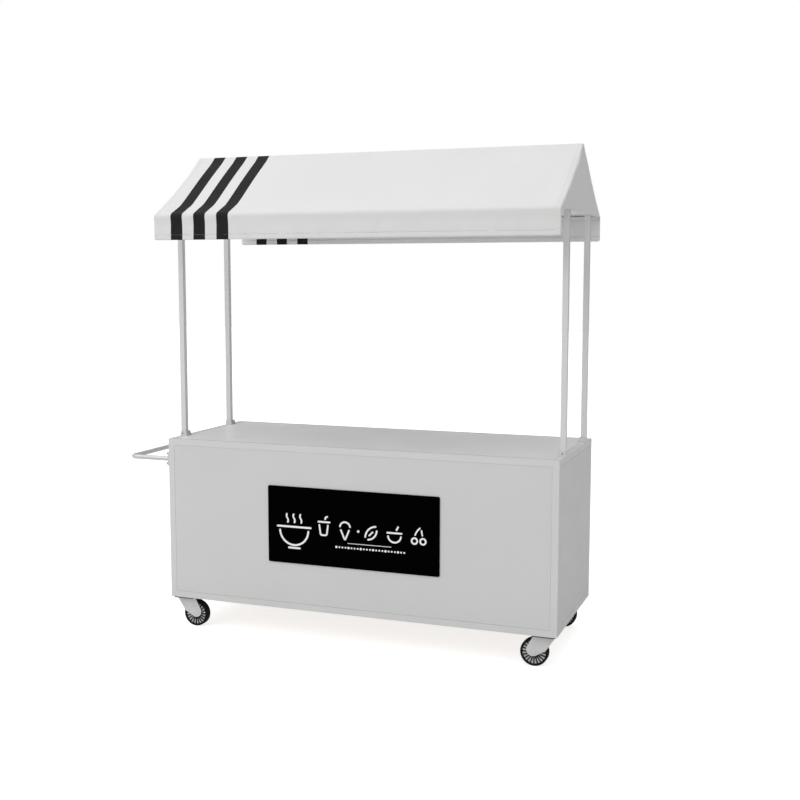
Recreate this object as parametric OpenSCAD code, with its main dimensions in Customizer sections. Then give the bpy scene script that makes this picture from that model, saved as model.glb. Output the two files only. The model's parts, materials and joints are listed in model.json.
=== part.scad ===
// Push vending cart: storage cabinet on swivel casters, counter, push handle and pitched canopy.
// The X axis runs along the cart, the Y axis from customer side to vendor side, and Z = 0 is the floor.

/* [Cabinet] */
// Length of the cabinet
cab_len = 1900; // [1400:10:2400]
// Depth of the cabinet
cab_depth = 716; // [560:2:900]
// Height of the cabinet, from its underside to the counter
cab_h = 773; // [600:1:900]
// Side of the square frame tube
frame_tube = 30; // [28:1:40]
// Wall of the frame tube and thickness of the corner gussets
frame_wall = 2.5; // [2:0.5:3]
// Thickness of the body panels and the doors
panel_t = 15; // [10:1:18]
// Width and depth of the groove round each inset panel
groove = 1.5; // [1:0.5:3]
// Thickness of the counter panel
counter_t = 15; // [10:1:18]

/* [Interior] */
// Thickness of the floor board
floor_t = 12; // [9:1:18]
// Thickness of the shelf
shelf_t = 12; // [9:1:18]
// Clear height between the floor board and the shelf
shelf_rise = 335; // [200:5:450]
// Gap between the shelf and the walls round it
shelf_gap = 5; // [3:1:20]
// Leg of the angle cleats under the shelf
cleat_leg = 20; // [15:1:30]
// Thickness of the angle cleats
cleat_t = 2; // [1.5:0.5:3]
// Distance of the front stiles from the middle of the cart
stile_x = 310; // [200:5:450]

/* [Doors] */
// Gap between a door and its opening
door_gap = 2; // [1.5:0.5:4]
// Height of a hinge
hinge_h = 80; // [60:5:120]
// Distance of each hinge's end from the end of the door
hinge_inset = 90; // [60:5:150]
// Outside radius of a hinge knuckle
knuckle_r = 4; // [3.5:0.5:5]
// Radius of a hinge pin
pin_r = 2.5; // [2:0.1:2.5]
// Thickness of a hinge leaf
leaf_t = 2; // [1.5:0.5:2.5]
// Width of a hinge leaf, from the pin's axis
leaf_w = 25; // [20:1:27]
// Height of a door pull between its leg axes
pull_len = 120; // [90:5:160]
// Distance of a pull's bar axis from the door
pull_reach = 32; // [28:1:40]
// Radius of a pull's bar
pull_r = 5; // [4:0.5:6]

/* [Sign] */
// Width of the sign board
sign_w = 840; // [500:10:1000]
// Height of the sign board
sign_h = 360; // [200:10:420]
// Thickness of the sign board
sign_t = 5; // [3:1:10]
// Height of the sign's middle above the cabinet's underside
sign_rise = 401; // [330:1:440]
// Radius of the sign's corners
sign_corner = 8; // [4:1:20]

/* [Push handle] */
// Distance of the grip bar's axis from the cabinet's end
handle_reach = 217; // [150:1:300]
// Outside radius of the handle tube
handle_r = 11; // [9:0.5:13]
// Wall of the handle tube
handle_wall = 1.5; // [1.2:0.1:2]
// Radius of the handle's bends, at the tube's axis
handle_bend = 30; // [25:1:60]
// Depth of the handle's axis under the counter
handle_drop = 100; // [60:1:200]
// Width of a handle flange
flange_w = 30; // [28:1:36]
// Height of a handle flange
flange_h = 70; // [66:1:90]
// Thickness of a handle flange
flange_t = 5; // [4:1:8]
// Distance between the two bolts of a flange
flange_pitch = 48; // [46:1:50]
// Radius of a flange bolt
flange_bolt_r = 5; // [4:0.5:5]

/* [Canopy frame] */
// Side of the square posts
post_w = 25; // [20:1:30]
// Wall of the posts and the roof tubes
post_wall = 1.5; // [1.2:0.1:2]
// Distance of the posts from the middle of the cart, front to back
post_y = 226; // [160:2:260]
// Height of the eave rails' top above the counter
eave_rise = 1055; // [900:5:1200]
// Side of the square roof tubes
roof_tube = 16; // [14:1:20]
// Radius of the ridge tube
ridge_r = 12.5; // [10:0.5:16]
// Height of a post socket
socket_h = 22; // [18:1:40]
// Width of a socket's foot beyond the post
socket_foot = 11; // [8:1:12]
// Width of a socket's top beyond the post
socket_lip = 6; // [4:1:7]
// Radius of a socket's set screw
set_screw_r = 3; // [2.5:0.5:4]

/* [Canopy cover] */
// Distance of the cover's ends beyond the ends of the cabinet
canopy_overhang = 9; // [5:0.5:14]
// Depth of the cover
canopy_depth = 862; // [760:2:1000]
// Pitch of the roof, in degrees
roof_pitch = 35; // [25:1:45]
// Height of the hanging valances
valance_h = 120; // [80:5:180]
// Thickness of the cover's envelope
cover_t = 4; // [3:0.5:6]

/* [Casters] */
// Overall height of a caster, from the floor to the cabinet
caster_h = 148; // [144:1:160]
// Radius of a wheel
wheel_r = 62.5; // [55:0.5:63]
// Width of a tyre
tyre_w = 36; // [30:1:38]
// Radius of a wheel's core, inside the tyre
core_r = 52.5; // [46:0.5:54]
// Radius of a wheel's hub
hub_r = 14; // [12:1:18]
// Radius of an axle
axle_r = 5; // [4:0.5:6]
// Number of ribs on a hub cap
rib_count = 20; // [12:1:24]
// Width of a rib
rib_w = 5; // [2:0.5:5]
// Horizontal distance from a king pin to its axle
trail = 48; // [40:1:55]
// Side of a square mounting plate
plate_w = 105; // [100:1:115]
// Thickness of a mounting plate
plate_t = 6; // [5:0.5:6]
// Distance between a plate's bolts
plate_pitch = 84; // [82:1:86]
// Radius of a plate bolt
plate_bolt_r = 4; // [3:0.5:4]
// Distance of a plate from the cabinet's end
plate_inset_x = 8.5; // [6:0.5:10]
// Distance of a plate from the cabinet's front or back
plate_inset_y = 4; // [4:0.5:6]
// Thickness of a fork's sheet
fork_t = 3.5; // [3:0.5:5]
// Half of the length of a fork's top edge
fork_half = 49; // [46:1:52]
// Radius of a king pin
king_r = 6; // [5:0.5:7]
// Radius of a race ball
ball_r = 2.5; // [2:0.25:2.75]
// Number of balls in a race
ball_count = 14; // [8:1:16]

/* [Hidden] */

$fn = 64;
run_fit = 0.05;     // radial clearance of a pin that turns
soft_gap = 0.3;     // clearance between the cover and the tubes under it
cut = 1;            // how far a cutter runs past the face that it cuts

// The cabinet sits off the frame's middle, because the handle reaches further out than the canopy.
left_reach = cab_len / 2 + handle_reach + handle_r;
right_reach = cab_len / 2 + canopy_overhang;
cab_x = (left_reach - right_reach) / 2;

half_len = cab_len / 2;
half_depth = cab_depth / 2;
z_cab = caster_h;
z_top = z_cab + cab_h;
z_sill = z_cab + frame_tube;
z_lintel = z_top - frame_tube;
open_len = cab_len - 2 * frame_tube;
open_depth = cab_depth - 2 * frame_tube;
open_h = z_lintel - z_sill;

// Signs of the four corners: [x, y], in the order front left, front right, rear left, rear right.
corners = [[-1, -1], [1, -1], [-1, 1], [1, 1]];
FL = corners[0];
FR = corners[1];
RL = corners[2];
RR = corners[3];

// Interior
z_floor = z_sill + floor_t;
z_shelf = z_floor + shelf_rise;
stile_w = frame_tube;
stile_back = -half_depth + panel_t + stile_w;
door_back = half_depth - panel_t;
board_gap = 0.5;    // clearance of a board round the uprights and the sockets
door_behind = 2;    // clearance between a door and the boards behind it
shelf_len = cab_len - 2 * panel_t - 2 * shelf_gap;
shelf_front = stile_back;
shelf_back = half_depth - frame_tube - shelf_gap;
cleat_len = 480;    // length of the cleats on the end walls

// Doors
door_w = open_len / 2 - stile_w / 2 - 2 * door_gap;
door_h = open_h - 2 * door_gap;
hinge_x = open_len / 2 - door_gap / 2;
knuckle_air = 0.5;  // clearance between a knuckle and the face behind it
hinge_y = half_depth + knuckle_air + knuckle_r;
knuckle_gap = 0.3;  // clearance between neighbouring knuckles
knuckle_count = 4;
knuckle_h = hinge_h / knuckle_count;
hinge_zs = [z_sill + door_gap + hinge_inset, z_lintel - door_gap - hinge_inset - hinge_h];
pull_x = stile_w / 2 + door_gap + 45;
pull_z = z_sill + open_h / 2;
catch_size = [46, 14, 12];
catch_air = 0.3;    // clearance between a catch and its door

// Handle
handle_z = z_top - handle_drop;
handle_y = half_depth - frame_tube / 2;
nut_flat = 16;      // width across a cap nut's flats
nut_h = 8;
bolt_air = 0.2;     // radial clearance of a bolt in its hole

// Canopy frame
post_x = half_len - post_w / 2;
eave_top = z_top + eave_rise;
cover_half_len = half_len + canopy_overhang;
cover_half_depth = canopy_depth / 2;
frame_half_len = cover_half_len - cover_t - soft_gap;
eave_y = cover_half_depth - cover_t - soft_gap;
side_rail_x = frame_half_len - roof_tube / 2;
side_rail_top = eave_top + roof_tube;

// Lines of the roof in the YZ plane: the height of the sloping inner and outer faces at a distance y.
inner_eave = eave_top + soft_gap / cos(roof_pitch);
function inner_z(y) = inner_eave + (eave_y + soft_gap - y) * tan(roof_pitch);
function outer_z(y) = inner_z(y) + cover_t / cos(roof_pitch);
ridge_z = inner_z(0) - (ridge_r + soft_gap) / cos(roof_pitch);
valance_z = outer_z(cover_half_depth) - valance_h;
gable_z = outer_z(cover_half_depth) - cover_t;

// Casters
axle_z = wheel_r;
plate_z = z_cab - plate_t;
swivel_x = half_len - plate_inset_x - plate_w / 2;
swivel_y = half_depth - plate_inset_y - plate_w / 2;
side_air = 2.5;     // clearance between a tyre and its fork
fork_in = tyre_w / 2 + side_air;
fork_out = fork_in + fork_t;
fork_top = plate_z - 2;
crown_t = 4;
crown_z = plate_z - 14;
race_r = fork_in - 1;
ball_pitch_r = race_r - ball_r - 2;
ball_z = (plate_z + crown_z + crown_t) / 2;
ball_air = 0.15;    // clearance of a ball in its groove
race_half_gap = 0.75;
hub_air = 0.5;      // clearance at each end of a hub
rib_h = 4;
web_half = tyre_w / 2 - 6;
nut_gap = 0.1;      // clearance of a bolt in its weld nut
weld_nut_h = 6.5;

module at_cart() {
  translate([cab_x, 0, 0]) children();
}

// A block between two corners.
module block(low, high) {
  translate(low) cube(high - low);
}

// A square tube between two corners, open at both ends along an axis (0, 1 or 2).
module square_tube(low, high, wall, axis) {
  inset = [for (i = [0:2]) i == axis ? -cut : wall];
  difference() {
    block(low, high);
    block(low + inset, high - inset);
  }
}

module rod_x(r, length) {
  rotate([0, 90, 0]) cylinder(r = r, h = length);
}

module rod_y(r, length) {
  rotate([-90, 0, 0]) cylinder(r = r, h = length);
}

// A rectangle with round corners, centred.
module rounded_rect(w, h, r) {
  square([w - 2 * r, h], center = true);
  square([w, h - 2 * r], center = true);
  for (sx = [-1, 1], sy = [-1, 1])
    translate([sx * (w / 2 - r), sy * (h / 2 - r)]) circle(r = r);
}

// ---- Cabinet frame ----

// A welded ring of square tube, with a vent into each corner post.
module frame_ring(z, vent_z) {
  hl = half_len;
  hd = half_depth;
  difference() {
    block([-hl, -hd, z], [hl, hd, z + frame_tube]);
    block([-hl + frame_tube, -hd + frame_tube, z - cut],
          [hl - frame_tube, hd - frame_tube, z + frame_tube + cut]);
    difference() {
      block([-hl + frame_wall, -hd + frame_wall, z + frame_wall],
            [hl - frame_wall, hd - frame_wall, z + frame_tube - frame_wall]);
      block([-hl + frame_tube - frame_wall, -hd + frame_tube - frame_wall, z],
            [hl - frame_tube + frame_wall, hd - frame_tube + frame_wall, z + frame_tube]);
    }
    for (c = corners)
      translate([c.x * (hl - frame_tube / 2), c.y * (hd - frame_tube / 2), vent_z - frame_wall / 2 - cut])
        cylinder(r = 4, h = frame_wall + 2 * cut);
  }
}

// Places its children at each bolt of each caster plate.
module at_plate_bolts() {
  for (c = corners, px = [-1, 1], py = [-1, 1])
    translate([c.x * swivel_x + px * plate_pitch / 2, c.y * swivel_y + py * plate_pitch / 2, 0]) children();
}

module base_frame() {
  color("gainsboro") at_cart() difference() {
    union() {
      frame_ring(z_cab, z_sill - frame_wall / 2);
      for (c = corners) corner_gusset(c);
    }
    at_plate_bolts() translate([0, 0, z_cab - cut])
      cylinder(r = plate_bolt_r + bolt_air, h = frame_wall + 2 * cut);
  }
}

// A gusset sheet in a corner of the base ring, level with its underside, to carry a caster.
module corner_gusset(c) {
  inner = plate_w + plate_inset_x;
  inner_y = plate_w + plate_inset_y;
  edge_x = half_len - frame_tube + frame_wall / 2;
  edge_y = half_depth - frame_tube + frame_wall / 2;
  scale([c.x, c.y, 1])
    block([half_len - inner, half_depth - inner_y, z_cab], [edge_x, edge_y, z_cab + frame_wall]);
}

module top_frame() {
  color("gainsboro") at_cart() frame_ring(z_lintel, z_lintel + frame_wall / 2);
}

// A corner post of the cabinet; the two at the handle end are drilled for its bolts.
module corner_post(c) {
  x = c.x * (half_len - frame_tube / 2);
  y = c.y * (half_depth - frame_tube / 2);
  half = frame_tube / 2;
  difference() {
    square_tube([x - half, y - half, z_sill], [x + half, y + half, z_lintel], frame_wall, 2);
    if (c.x < 0)
      for (s = [-1, 1])
        translate([-half_len - cut, c.y * handle_y, handle_z + s * flange_pitch / 2])
          rod_x(flange_bolt_r + bolt_air, frame_wall + 2 * cut);
  }
}

module front_uprights() {
  color("gainsboro") at_cart() {
    corner_post(FL);
    corner_post(FR);
    for (s = [-1, 1])
      square_tube([s * stile_x - stile_w / 2, stile_back - stile_w, z_sill],
                  [s * stile_x + stile_w / 2, stile_back, z_lintel], frame_wall, 2);
  }
}

module rear_uprights() {
  color("gainsboro") at_cart() {
    corner_post(RL);
    corner_post(RR);
    square_tube([-stile_w / 2, half_depth - stile_w, z_sill],
                [stile_w / 2, half_depth, z_lintel], frame_wall, 2);
  }
}

// ---- Panels ----

// A panel that fills w by h in the XY plane, its face at z = panel thickness, with a groove round that face.
module grooved_panel(w, h, t) {
  difference() {
    translate([-w / 2, -h / 2, 0]) cube([w, h, t]);
    difference() {
      translate([-w / 2 - cut, -h / 2 - cut, t - groove]) cube([w + 2 * cut, h + 2 * cut, groove + cut]);
      translate([-w / 2 + groove, -h / 2 + groove, t - groove - cut])
        cube([w - 2 * groove, h - 2 * groove, groove + 3 * cut]);
    }
  }
}

module front_panel() {
  color("whitesmoke") at_cart()
    translate([0, -half_depth + panel_t, z_sill + open_h / 2])
      rotate([90, 0, 0]) grooved_panel(open_len, open_h, panel_t);
}

module end_panel(side) {
  translate([side * (half_len - panel_t), 0, z_sill + open_h / 2])
    rotate([90, 0, side * 90]) grooved_panel(open_depth, open_h, panel_t);
}

module left_panel() {
  color("whitesmoke") at_cart() end_panel(-1);
}

module right_panel() {
  color("whitesmoke") at_cart() end_panel(1);
}

// The counter's groove widens round each post socket, so that its face is clear of their feet.
module counter_panel() {
  socket_x = half_len - post_w - socket_foot - board_gap;
  socket_half = post_w / 2 + socket_foot + board_gap;
  color("lightgray") at_cart() difference() {
    translate([0, 0, z_top - counter_t]) grooved_panel(open_len, open_depth, counter_t);
    for (c = corners) scale([c.x, c.y, 1])
      block([socket_x, post_y - socket_half, z_top - groove], [half_len, post_y + socket_half, z_top + cut]);
  }
}

// Cross tubes between the long top rails, under the counter panel.
module counter_bearers() {
  color("gainsboro") at_cart()
    for (x = [-2, -1, 1, 2] * open_len / 5)
      square_tube([x - stile_w / 2, -open_depth / 2, z_lintel],
                  [x + stile_w / 2, open_depth / 2, z_top - counter_t], post_wall, 1);
}

// ---- Interior ----

module floor_board() {
  hx = half_len - panel_t;
  color("burlywood") at_cart() difference() {
    block([-hx, -half_depth + panel_t, z_sill], [hx, door_back - door_behind, z_floor]);
    for (c = corners) scale([c.x, c.y, 1])
      block([half_len - frame_tube - board_gap, half_depth - frame_tube - board_gap, z_sill - cut],
            [half_len, half_depth, z_floor + cut]);
    for (s = [-1, 1])
      block([s * stile_x - stile_w / 2 - board_gap, -half_depth, z_sill - cut],
            [s * stile_x + stile_w / 2 + board_gap, stile_back + board_gap, z_floor + cut]);
    block([-stile_w / 2 - board_gap, half_depth - stile_w - board_gap, z_sill - cut],
          [stile_w / 2 + board_gap, half_depth, z_floor + cut]);
  }
}

module shelf() {
  color("burlywood") at_cart()
    block([-shelf_len / 2, shelf_front, z_shelf], [shelf_len / 2, shelf_back, z_shelf + shelf_t]);
}

// An angle strip under the shelf: one leg flat under it, one leg down the wall at y = 0.
module cleat(length) {
  block([-length / 2, 0, -cleat_t], [length / 2, cleat_leg, 0]);
  block([-length / 2, 0, -cleat_leg], [length / 2, cleat_t, 0]);
}

module shelf_cleats() {
  color("silver") at_cart() {
    for (s = [-1, 1]) {
      translate([s * (half_len - panel_t), 0, z_shelf]) rotate([0, 0, s * 90]) cleat(cleat_len);
      translate([s * stile_x, stile_back, z_shelf]) cleat(stile_w);
    }
    translate([0, half_depth - stile_w, z_shelf]) rotate([0, 0, 180]) cleat(stile_w);
  }
}

// ---- Doors: modelled for the right-hand opening, and mirrored for the left ----

module door_leaf() {
  x = stile_w / 2 + door_gap;
  block([x, door_back, z_sill + door_gap], [x + door_w, half_depth, z_lintel - door_gap]);
}

module door_left() {
  color("whitesmoke") at_cart() mirror([1, 0, 0]) door_leaf();
}

module door_right() {
  color("whitesmoke") at_cart() door_leaf();
}

module door_catches() {
  color("dimgray") at_cart() for (s = [-1, 1])
    translate([s * pull_x - catch_size.x / 2, door_back - catch_air - catch_size.y, z_lintel - catch_size.z])
      cube(catch_size);
}

// Half of a hinge: a leaf on one side of the axis (side 1 is away from the middle of the cart), with every
// second knuckle, starting with the first (odd = 0) or the second (odd = 1).
module hinge_half(side, odd) {
  reach = knuckle_r + knuckle_gap;
  difference() {
    union() {
      translate([side > 0 ? reach : -leaf_w, -knuckle_air - knuckle_r, 0])
        cube([leaf_w - reach, leaf_t, hinge_h]);
      for (i = [odd:2:knuckle_count - 1])
        translate([0, 0, i * knuckle_h + knuckle_gap / 2]) {
          cylinder(r = knuckle_r, h = knuckle_h - knuckle_gap);
          translate([side > 0 ? 0 : -reach - cut, -knuckle_air - knuckle_r, 0])
            cube([reach + cut, leaf_t, knuckle_h - knuckle_gap]);
        }
    }
    translate([0, 0, -cut]) cylinder(r = pin_r + run_fit, h = hinge_h + 2 * cut);
  }
}

module at_hinges() {
  for (z = hinge_zs) translate([hinge_x, hinge_y, z]) children();
}

module hinge_frame_leaves() {
  color("silver") at_cart() {
    at_hinges() hinge_half(1, 0);
    mirror([1, 0, 0]) at_hinges() hinge_half(1, 0);
  }
}

module hinge_leaves_left() {
  color("silver") at_cart() mirror([1, 0, 0]) at_hinges() hinge_half(-1, 1);
}

module hinge_leaves_right() {
  color("silver") at_cart() at_hinges() hinge_half(-1, 1);
}

// A hinge pin with a flat head at each end.
module hinge_pin() {
  head_h = 1.5;
  cylinder(r = pin_r, h = hinge_h);
  translate([0, 0, -head_h]) cylinder(r = knuckle_r, h = head_h);
  translate([0, 0, hinge_h]) cylinder(r = knuckle_r, h = head_h);
}

module hinge_pins() {
  color("silver") at_cart() {
    at_hinges() hinge_pin();
    mirror([1, 0, 0]) at_hinges() hinge_pin();
  }
}

// A bow pull: two legs out from the door and a bar between them, with round elbows.
module door_pull() {
  leg = pull_reach - 2 * pull_r;
  bend = 2 * pull_r;
  bar = pull_len - 2 * bend;
  translate([pull_x, half_depth, pull_z]) {
    for (s = [-1, 1]) {
      translate([0, 0, s * pull_len / 2]) rod_y(pull_r, leg);
      translate([0, leg, s * bar / 2]) rotate([0, s > 0 ? -90 : 90, 0])
        rotate_extrude(angle = 90) translate([bend, 0]) circle(r = pull_r, $fn = 32);
    }
    translate([0, pull_reach, -bar / 2]) cylinder(r = pull_r, h = bar);
  }
}

module pull_left() {
  color("silver") at_cart() mirror([1, 0, 0]) door_pull();
}

module pull_right() {
  color("silver") at_cart() door_pull();
}

// ---- Sign ----

module sign_board() {
  color("black") at_cart() translate([0, -half_depth, z_cab + sign_rise]) rotate([90, 0, 0])
    linear_extrude(sign_t) rounded_rect(sign_w, sign_h, sign_corner);
}

// ---- Push handle ----

// The solid path of the handle at a radius: two arms, two elbows and the grip bar.
module handle_path(r, overrun) {
  x_flange = -half_len - flange_t;
  x_bar = -half_len - handle_reach;
  arm = handle_reach - flange_t - handle_bend;
  grip = 2 * (handle_y - handle_bend);
  for (s = [-1, 1]) {
    translate([x_bar + handle_bend, s * handle_y, handle_z]) rod_x(r, arm + overrun);
    translate([x_bar + handle_bend, s * (handle_y - handle_bend), handle_z])
      rotate([0, 0, s > 0 ? 90 : 180]) rotate_extrude(angle = 90) translate([handle_bend, 0]) circle(r = r);
  }
  translate([x_bar, -grip / 2, handle_z]) rod_y(r, grip);
}

module handle_bar() {
  color("silver") at_cart() difference() {
    handle_path(handle_r, 0);
    handle_path(handle_r - handle_wall, cut);
  }
}

// Places its children at each of the four flange bolts.
module at_flange_bolts() {
  for (sy = [-1, 1], sz = [-1, 1])
    translate([-half_len, sy * handle_y, handle_z + sz * flange_pitch / 2]) children();
}

module handle_flanges() {
  color("silver") at_cart() difference() {
    for (s = [-1, 1])
      translate([-half_len, s * handle_y, handle_z]) rotate([0, -90, 0])
        linear_extrude(flange_t) rounded_rect(flange_h, flange_w, 5);
    at_flange_bolts() translate([-flange_t - cut, 0, 0]) rod_x(flange_bolt_r + bolt_air, flange_t + 2 * cut);
  }
}

// A flange bolt: round head inside the corner post, shank, and a domed cap nut outside.
module handle_bolts() {
  dome_r = nut_flat / 2 - 0.5;
  head_h = 4;
  color("silver") at_cart() at_flange_bolts() {
    translate([-flange_t - nut_h, 0, 0]) rod_x(flange_bolt_r, flange_t + nut_h + frame_wall + head_h);
    translate([frame_wall, 0, 0]) rod_x(flange_bolt_r + 3, head_h);
    translate([-flange_t - nut_h, 0, 0]) rotate([0, 90, 0])
      cylinder(r = nut_flat / 2 / cos(30), h = nut_h, $fn = 6);
    translate([-flange_t - nut_h, 0, 0]) sphere(r = dome_r);
  }
}

// ---- Canopy frame ----

module canopy_post(c) {
  x = c.x * post_x;
  y = c.y * post_y;
  half = post_w / 2;
  square_tube([x - half, y - half, z_top], [x + half, y + half, eave_top], post_wall, 2);
}

module post_front_left() {
  color("gainsboro") at_cart() canopy_post(FL);
}

module post_front_right() {
  color("gainsboro") at_cart() canopy_post(FR);
}

module post_rear_left() {
  color("gainsboro") at_cart() canopy_post(RL);
}

module post_rear_right() {
  color("gainsboro") at_cart() canopy_post(RR);
}

// A tapered socket on three sides of a post; the cabinet's end lies at local x = 0.
module post_socket() {
  foot = post_w / 2 + socket_foot;
  lip = post_w / 2 + socket_lip;
  sheet = 0.5;
  hole = post_w / 2 + bolt_air / 2;
  difference() {
    hull() {
      block([-post_w - socket_foot, -foot, 0], [0, foot, sheet]);
      block([-post_w - socket_lip, -lip, socket_h - sheet], [0, lip, socket_h]);
    }
    block([-post_w - bolt_air / 2, -hole, -cut], [cut, hole, socket_h + cut]);
    translate([-post_w / 2, -foot - cut, socket_h / 2]) rod_y(set_screw_r + run_fit, foot);
  }
}

module post_sockets() {
  color("lightgray") at_cart()
    for (c = corners) translate([c.x * half_len, c.y * post_y, z_top])
      mirror([c.x > 0 ? 0 : 1, 0, 0]) mirror([0, c.y < 0 ? 0 : 1, 0]) post_socket();
}

module set_screws() {
  shank = (socket_foot + socket_lip) / 2;
  color("dimgray") at_cart()
    for (c = corners) translate([c.x * post_x, c.y * (post_w / 2 + post_y), z_top + socket_h / 2])
      mirror([0, c.y < 0 ? 1 : 0, 0]) rod_y(set_screw_r, shank);
}

module eave_rails() {
  color("gainsboro") at_cart() for (s = [-1, 1])
    translate([0, s * (eave_y - roof_tube / 2), 0])
      square_tube([-frame_half_len, -roof_tube / 2, eave_top - roof_tube],
                  [frame_half_len, roof_tube / 2, eave_top], post_wall, 0);
}

// The side rails lie on the posts and the eave rails, and their ends are cut to the roof's slope.
module side_rails() {
  end = eave_y - 2;
  color("gainsboro") at_cart() for (s = [-1, 1]) difference() {
    translate([s * side_rail_x, 0, 0])
      square_tube([-roof_tube / 2, -end, eave_top], [roof_tube / 2, end, side_rail_top], post_wall, 1);
    for (t = [-1, 1])
      translate([s * side_rail_x, t * eave_y, inner_z(eave_y) - soft_gap]) rotate([t * -roof_pitch, 0, 0])
        translate([-roof_tube, -roof_tube * 3, 0]) cube([2 * roof_tube, roof_tube * 6, roof_tube * 3]);
  }
}

// Short uprights that carry the ridge tube, with their tops cut to seat it.
module king_posts() {
  half = roof_tube / 2;
  color("gainsboro") at_cart() for (s = [-1, 1]) difference() {
    square_tube([s * side_rail_x - half, -half, side_rail_top], [s * side_rail_x + half, half, ridge_z],
                post_wall, 2);
    translate([s * side_rail_x - roof_tube, 0, ridge_z]) rod_x(ridge_r + run_fit, 2 * roof_tube);
  }
}

module ridge_tube() {
  color("gainsboro") at_cart() translate([-frame_half_len, 0, ridge_z]) difference() {
    rod_x(ridge_r, 2 * frame_half_len);
    translate([-cut, 0, 0]) rod_x(ridge_r - post_wall, 2 * frame_half_len + 2 * cut);
  }
}

// ---- Canopy cover ----

// Outline of the roof in the YZ plane, grown by t beyond its inner face and cut off at height low.
module roof_outline(t, low) {
  y = eave_y + soft_gap + t;
  slope = roof_pitch;
  r = ridge_r + soft_gap + t;
  rise = t / cos(slope);
  polygon([
    [-y, low], [y, low], [y, inner_z(y) + rise],
    [r * sin(slope), ridge_z + r * cos(slope)],
    [0, ridge_z],
    [-r * sin(slope), ridge_z + r * cos(slope)],
    [-y, inner_z(y) + rise]
  ]);
  translate([0, ridge_z]) circle(r = r);
}

// Turns an outline in the YZ plane into a solid between two places along X.
module along_x(from, to) {
  translate([from, 0, 0]) rotate([90, 0, 90]) linear_extrude(to - from) children();
}

// Roof and valances hang over the frame as one cover; the ends are closed above the eaves only.
module canopy_cover() {
  color("white") at_cart() difference() {
    along_x(-cover_half_len, cover_half_len) roof_outline(cover_t, valance_z);
    along_x(-cover_half_len + cover_t, cover_half_len - cover_t) roof_outline(0, valance_z - cut);
    for (s = [-1, 1])
      translate([s * cover_half_len, 0, valance_z - cut + (gable_z - valance_z + cut) / 2])
        cube([4 * cover_t, 2 * (eave_y + soft_gap), gable_z - valance_z + cut], center = true);
  }
}

// ---- Casters ----

// Places its children at a caster's king pin, mirrored so that local +x points away from the middle.
module at_caster(c) {
  translate([c.x * swivel_x, c.y * swivel_y, 0]) mirror([c.x > 0 ? 0 : 1, 0, 0]) children();
}

module caster_plates() {
  groove_r = ball_r + ball_air;
  sink_r = 2 * plate_bolt_r + bolt_air;
  color("dimgray") at_cart() for (c = corners) at_caster(c) difference() {
    union() {
      translate([0, 0, plate_z]) linear_extrude(plate_t) rounded_rect(plate_w, plate_w, 10);
      translate([0, 0, ball_z + race_half_gap]) cylinder(r = race_r, h = plate_z - ball_z);
    }
    translate([0, 0, ball_z]) cylinder(r = king_r + run_fit, h = caster_h);
    translate([0, 0, ball_z]) rotate_extrude() translate([ball_pitch_r, 0]) circle(r = groove_r, $fn = 32);
    for (px = [-1, 1], py = [-1, 1]) translate([px, py, 0] * plate_pitch / 2) {
      translate([0, 0, plate_z - cut]) cylinder(r = plate_bolt_r + bolt_air, h = plate_t + 2 * cut);
      translate([0, 0, plate_z - cut])
        cylinder(r1 = sink_r + cut, r2 = plate_bolt_r + bolt_air, h = plate_bolt_r + cut);
    }
  }
}

// Countersunk bolts up through the plates, each with a weld nut on the sheet above.
module caster_bolts() {
  z_nut = z_cab + frame_wall;
  bolt_top = z_nut + weld_nut_h + 2;
  color("silver") at_cart() at_plate_bolts() {
    translate([0, 0, plate_z]) {
      cylinder(r = plate_bolt_r, h = bolt_top - plate_z);
      cylinder(r1 = 2 * plate_bolt_r, r2 = plate_bolt_r, h = plate_bolt_r);
    }
    translate([0, 0, z_nut]) difference() {
      cylinder(r = 13 / 2 / cos(30), h = weld_nut_h, $fn = 6);
      translate([0, 0, -cut]) cylinder(r = plate_bolt_r + nut_gap, h = weld_nut_h + 2 * cut);
    }
  }
}

// A king pin is riveted into its plate, and its lower head holds the fork's crown up.
module king_pins() {
  head_h = 5;
  color("silver") at_cart() for (c = corners) at_caster(c) {
    z_head = crown_z - soft_gap - head_h;
    translate([0, 0, z_head]) cylinder(r = king_r, h = z_cab - z_head);
    translate([0, 0, z_head]) cylinder(r = king_r + 5, h = head_h);
  }
}

module race_balls() {
  color("silver") at_cart() for (c = corners) at_caster(c)
    for (i = [0:ball_count - 1])
      rotate([0, 0, i * 360 / ball_count]) translate([ball_pitch_r, 0, ball_z]) sphere(r = ball_r, $fn = 24);
}

// The point where a line from p touches a circle of radius r about c, on the side given by the sign.
function tangent_point(p, c, r, side) =
  let (d = c - p, reach = norm(d), turn = asin(r / reach) * side, length = sqrt(reach * reach - r * r),
       aim = atan2(d.y, d.x) + turn)
  p + length * [cos(aim), sin(aim)];

// Side of a fork in the XZ plane: a slanted leg with a round end under the axle.
module fork_outline() {
  end_r = 29;
  lap = 0.1;        // how far the straight sides end inside the round end
  end = [-trail - 4, axle_z + 12.5];
  heel = [4.5, axle_z + 11.5];
  top_in = [-fork_half, fork_top];
  polygon([
    top_in, [fork_half, fork_top], heel,
    tangent_point(heel, end, end_r - lap, 1),
    tangent_point(top_in, end, end_r - lap, -1)
  ]);
  translate(end) circle(r = end_r);
}

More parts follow.
